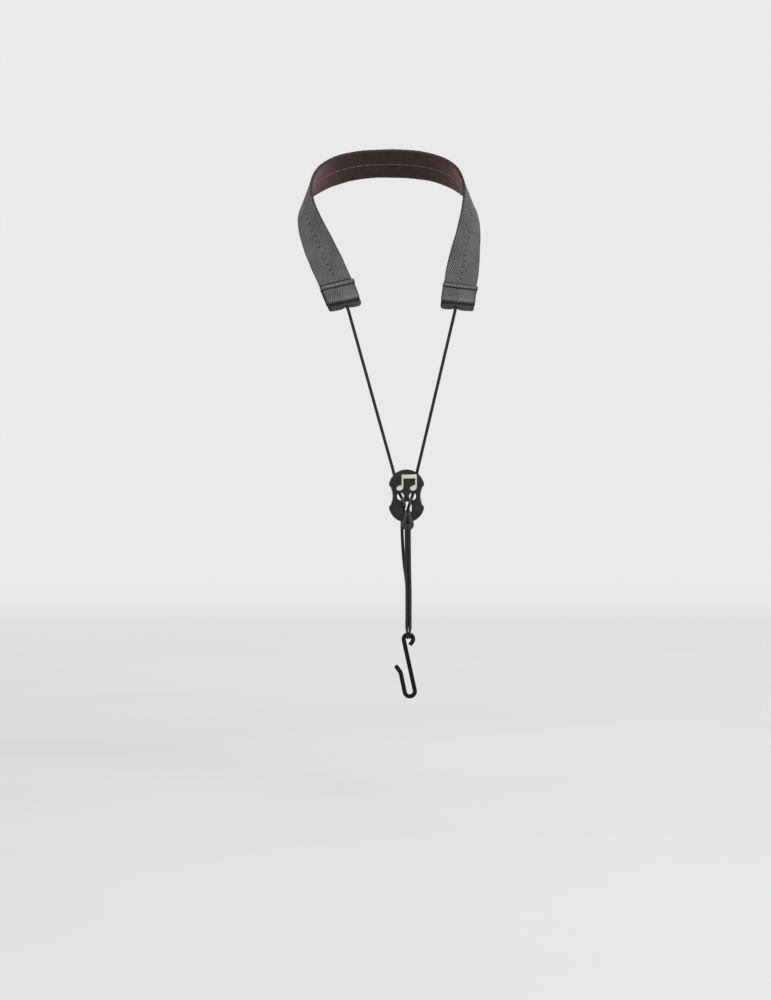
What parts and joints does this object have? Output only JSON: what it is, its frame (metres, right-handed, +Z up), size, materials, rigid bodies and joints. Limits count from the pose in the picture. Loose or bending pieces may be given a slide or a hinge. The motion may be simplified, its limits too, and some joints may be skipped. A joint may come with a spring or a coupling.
{
  "type": "saxophone neck strap",
  "caption": "Neck strap for a wind instrument: flat woven neck band, round cord laced through a slider plate that sets its length, and a sleeved wire hook.",
  "frame": {"origin": "middle of the band's inner face at the nape, where it rests on the back of the wearer's neck", "axes": "+Z up, +X to the right as the wearer's front is seen, the wearer faces -Y"},
  "size_m": [0.1704, 0.1958, 0.5107],
  "materials": {
    "webbing": "herringbone twill webbing, slight sheen",
    "lining": "soft brushed lining, dark red brown",
    "thread": "sewing thread",
    "cord": "smooth braided cord, slight sheen",
    "plate": "moulded, satin",
    "emblem": "polished",
    "hook_sleeve": "smooth shrunk sleeve, glossy",
    "wire": "cut end of drawn wire"
  },
  "bodies": {
    "band": {"band_outer_webbing": "webbing", "band_inner_lining": "lining", "band_seam_top_thread": "thread", "band_seam_bobbin_thread": "thread", "end_cap_left": "webbing", "end_cap_right": "webbing", "end_cap_stitching_left": "thread", "end_cap_stitching_right": "thread", "cord_knot_left": "cord", "cord_knot_right": "cord", "cord_leg_left": "cord", "cord_leg_right": "cord"},
    "slider": {"slider_plate": "plate", "slider_emblem": "emblem", "cord_lacing_left": "cord", "cord_lacing_right": "cord", "cord_hitch": "cord", "cord_back_strand_left": "cord", "cord_back_strand_right": "cord", "cord_front_strand_left": "cord", "cord_front_strand_right": "cord"},
    "loop_end": {"cord_hook_bight_left": "cord", "cord_hook_bight_right": "cord"},
    "hook": {"hook_coating": "hook_sleeve", "hook_wire_core": "wire"}
  },
  "joints": [
    {"name": "slider_slide", "type": "slide", "parent": "band", "child": "slider", "axis": [0, 0, 1], "range_m": [-0.15, 0.11], "deforming": ["cord_leg_left", "cord_leg_right"]},
    {"name": "hook_travel", "type": "slide", "parent": "slider", "child": "loop_end", "axis": [0, 0, 1], "range_m": [-0.0555, 0.0755], "deforming": ["cord_back_strand_left", "cord_back_strand_right", "cord_front_strand_left", "cord_front_strand_right"]},
    {"name": "hook_swing", "type": "hinge", "parent": "loop_end", "child": "hook", "pos_m": [0.0174, -0.1775, -0.4396], "axis": [1, 0, 0], "range_deg": [-60, 60]}
  ],
  "couplings": [
    {"joint": "hook_travel", "follows": "slider_slide", "ratio": -0.5}
  ]
}
